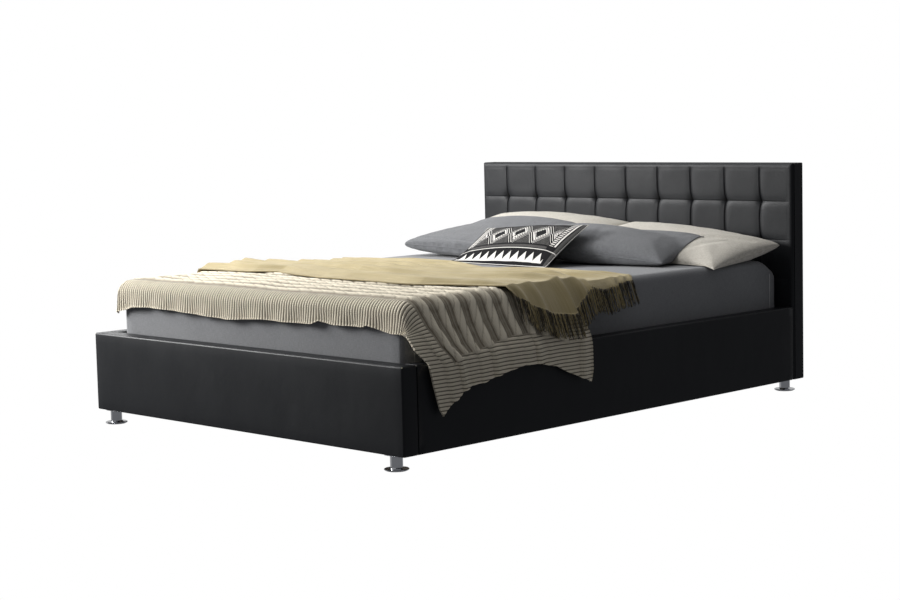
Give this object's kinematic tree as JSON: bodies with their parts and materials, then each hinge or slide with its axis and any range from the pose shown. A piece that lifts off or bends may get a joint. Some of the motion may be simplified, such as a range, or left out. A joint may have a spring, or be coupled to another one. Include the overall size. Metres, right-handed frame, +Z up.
{
  "type": "upholstered bed",
  "caption": "Upholstered double bed with a square-tufted headboard, low foot panel, deep side rails and short chrome legs, dressed with mattress, pillows, blanket and throw.",
  "frame": {"origin": "on the floor under the middle support foot, at the centre of the bed frame's length and width", "axes": "+Z up, +Y from the foot end towards the headboard, +X towards the sleeper's left side where the blanket and throw hang over"},
  "size_m": [1.6595, 2.1713, 0.887],
  "materials": {
    "leather": "black faux leather, satin, softly creased",
    "lining": "black non-woven lining",
    "foam": "upholstery foam",
    "plywood": "raw plywood",
    "timber": "raw pine",
    "slat_wood": "lacquered birch",
    "black_steel": "black powder coat",
    "zinc_steel": "zinc plated",
    "chrome": "polished chrome",
    "black_plastic": "matte black plastic",
    "felt": "felt glide",
    "ticking": "quilted ticking",
    "sheet": "heathered blue-grey cotton",
    "cream_cotton": "cream cotton",
    "grey_cotton": "heathered grey cotton",
    "patterned_fabric": "black cotton with a white woven geometric pattern",
    "oatmeal_knit": "oatmeal cable knit",
    "straw_throw": "straw-coloured soft weave",
    "fringe": "twisted fringe of straw and dark yarn"
  },
  "bodies": {
    "frame": {"headboard_cover": "leather", "headboard_back_cover": "lining", "headboard_foam": "foam", "headboard_panel": "plywood", "headboard_frame": "timber", "tuft_buttons": "leather", "footboard_cover": "leather", "footboard_foam": "foam", "footboard_pad": "foam", "footboard_panel": "plywood", "footboard_frame": "timber", "side_rail_left_cover": "leather", "side_rail_left_foam": "foam", "side_rail_left_board": "plywood", "side_rail_right_cover": "leather", "side_rail_right_foam": "foam", "side_rail_right_board": "plywood", "corner_brackets": "black_steel", "bracket_bolts": "zinc_steel", "slat_ledger_left": "timber", "slat_ledger_right": "timber", "ledger_screws": "zinc_steel", "centre_beam": "black_steel", "beam_hangers": "black_steel", "hanger_bolts": "zinc_steel", "slats_left": "slat_wood", "slats_right": "slat_wood", "slat_end_caps": "black_plastic", "slat_centre_caps": "black_plastic", "leg_tubes": "chrome", "leg_plates": "zinc_steel", "leg_bases": "chrome", "leg_glides": "felt", "leg_screws": "zinc_steel", "centre_posts": "black_steel", "centre_post_plugs": "black_plastic"},
    "foot_front": {"support_foot_front": "black_plastic"},
    "foot_middle": {"support_foot_middle": "black_plastic"},
    "foot_rear": {"support_foot_rear": "black_plastic"},
    "mattress": {"mattress_core": "foam", "mattress_comfort_layer": "foam", "mattress_ticking": "ticking", "fitted_sheet": "sheet"},
    "blanket": {"knit_blanket": "oatmeal_knit"},
    "throw": {"throw": "straw_throw", "throw_fringe": "fringe"},
    "cream_left": {"pillow_cream_left": "cream_cotton"},
    "cream_right": {"pillow_cream_right": "cream_cotton"},
    "grey_left": {"pillow_grey_left": "grey_cotton"},
    "grey_right": {"pillow_grey_right": "grey_cotton"},
    "cushion": {"accent_cushion": "patterned_fabric"}
  },
  "joints": [
    {"name": "support_foot_front_screw", "type": "slide", "parent": "frame", "child": "foot_front", "axis": [0, 0, -1], "range_m": [0, 0.02]},
    {"name": "support_foot_middle_screw", "type": "slide", "parent": "frame", "child": "foot_middle", "axis": [0, 0, -1], "range_m": [0, 0.02]},
    {"name": "support_foot_rear_screw", "type": "slide", "parent": "frame", "child": "foot_rear", "axis": [0, 0, -1], "range_m": [0, 0.02]},
    {"name": "mattress_lift", "type": "slide", "parent": "frame", "child": "mattress", "axis": [0, 0, 1], "range_m": [0, 0.3]},
    {"name": "blanket_lift", "type": "slide", "parent": "mattress", "child": "blanket", "axis": [0, 0, 1], "range_m": [0, 0.15]},
    {"name": "throw_lift", "type": "slide", "parent": "blanket", "child": "throw", "axis": [0, 0, 1], "range_m": [0, 0.15]},
    {"name": "cream_left_lift", "type": "slide", "parent": "mattress", "child": "cream_left", "axis": [0, 0, 1], "range_m": [0, 0.12]},
    {"name": "cream_right_lift", "type": "slide", "parent": "cream_left", "child": "cream_right", "axis": [0, 0, 1], "range_m": [0, 0.12]},
    {"name": "grey_left_lift", "type": "slide", "parent": "cream_right", "child": "grey_left", "axis": [0, 0, 1], "range_m": [0, 0.12]},
    {"name": "grey_right_lift", "type": "slide", "parent": "grey_left", "child": "grey_right", "axis": [0, 0, 1], "range_m": [0, 0.12]},
    {"name": "cushion_lift", "type": "slide", "parent": "grey_right", "child": "cushion", "axis": [0, 0, 1], "range_m": [0, 0.12]}
  ]
}
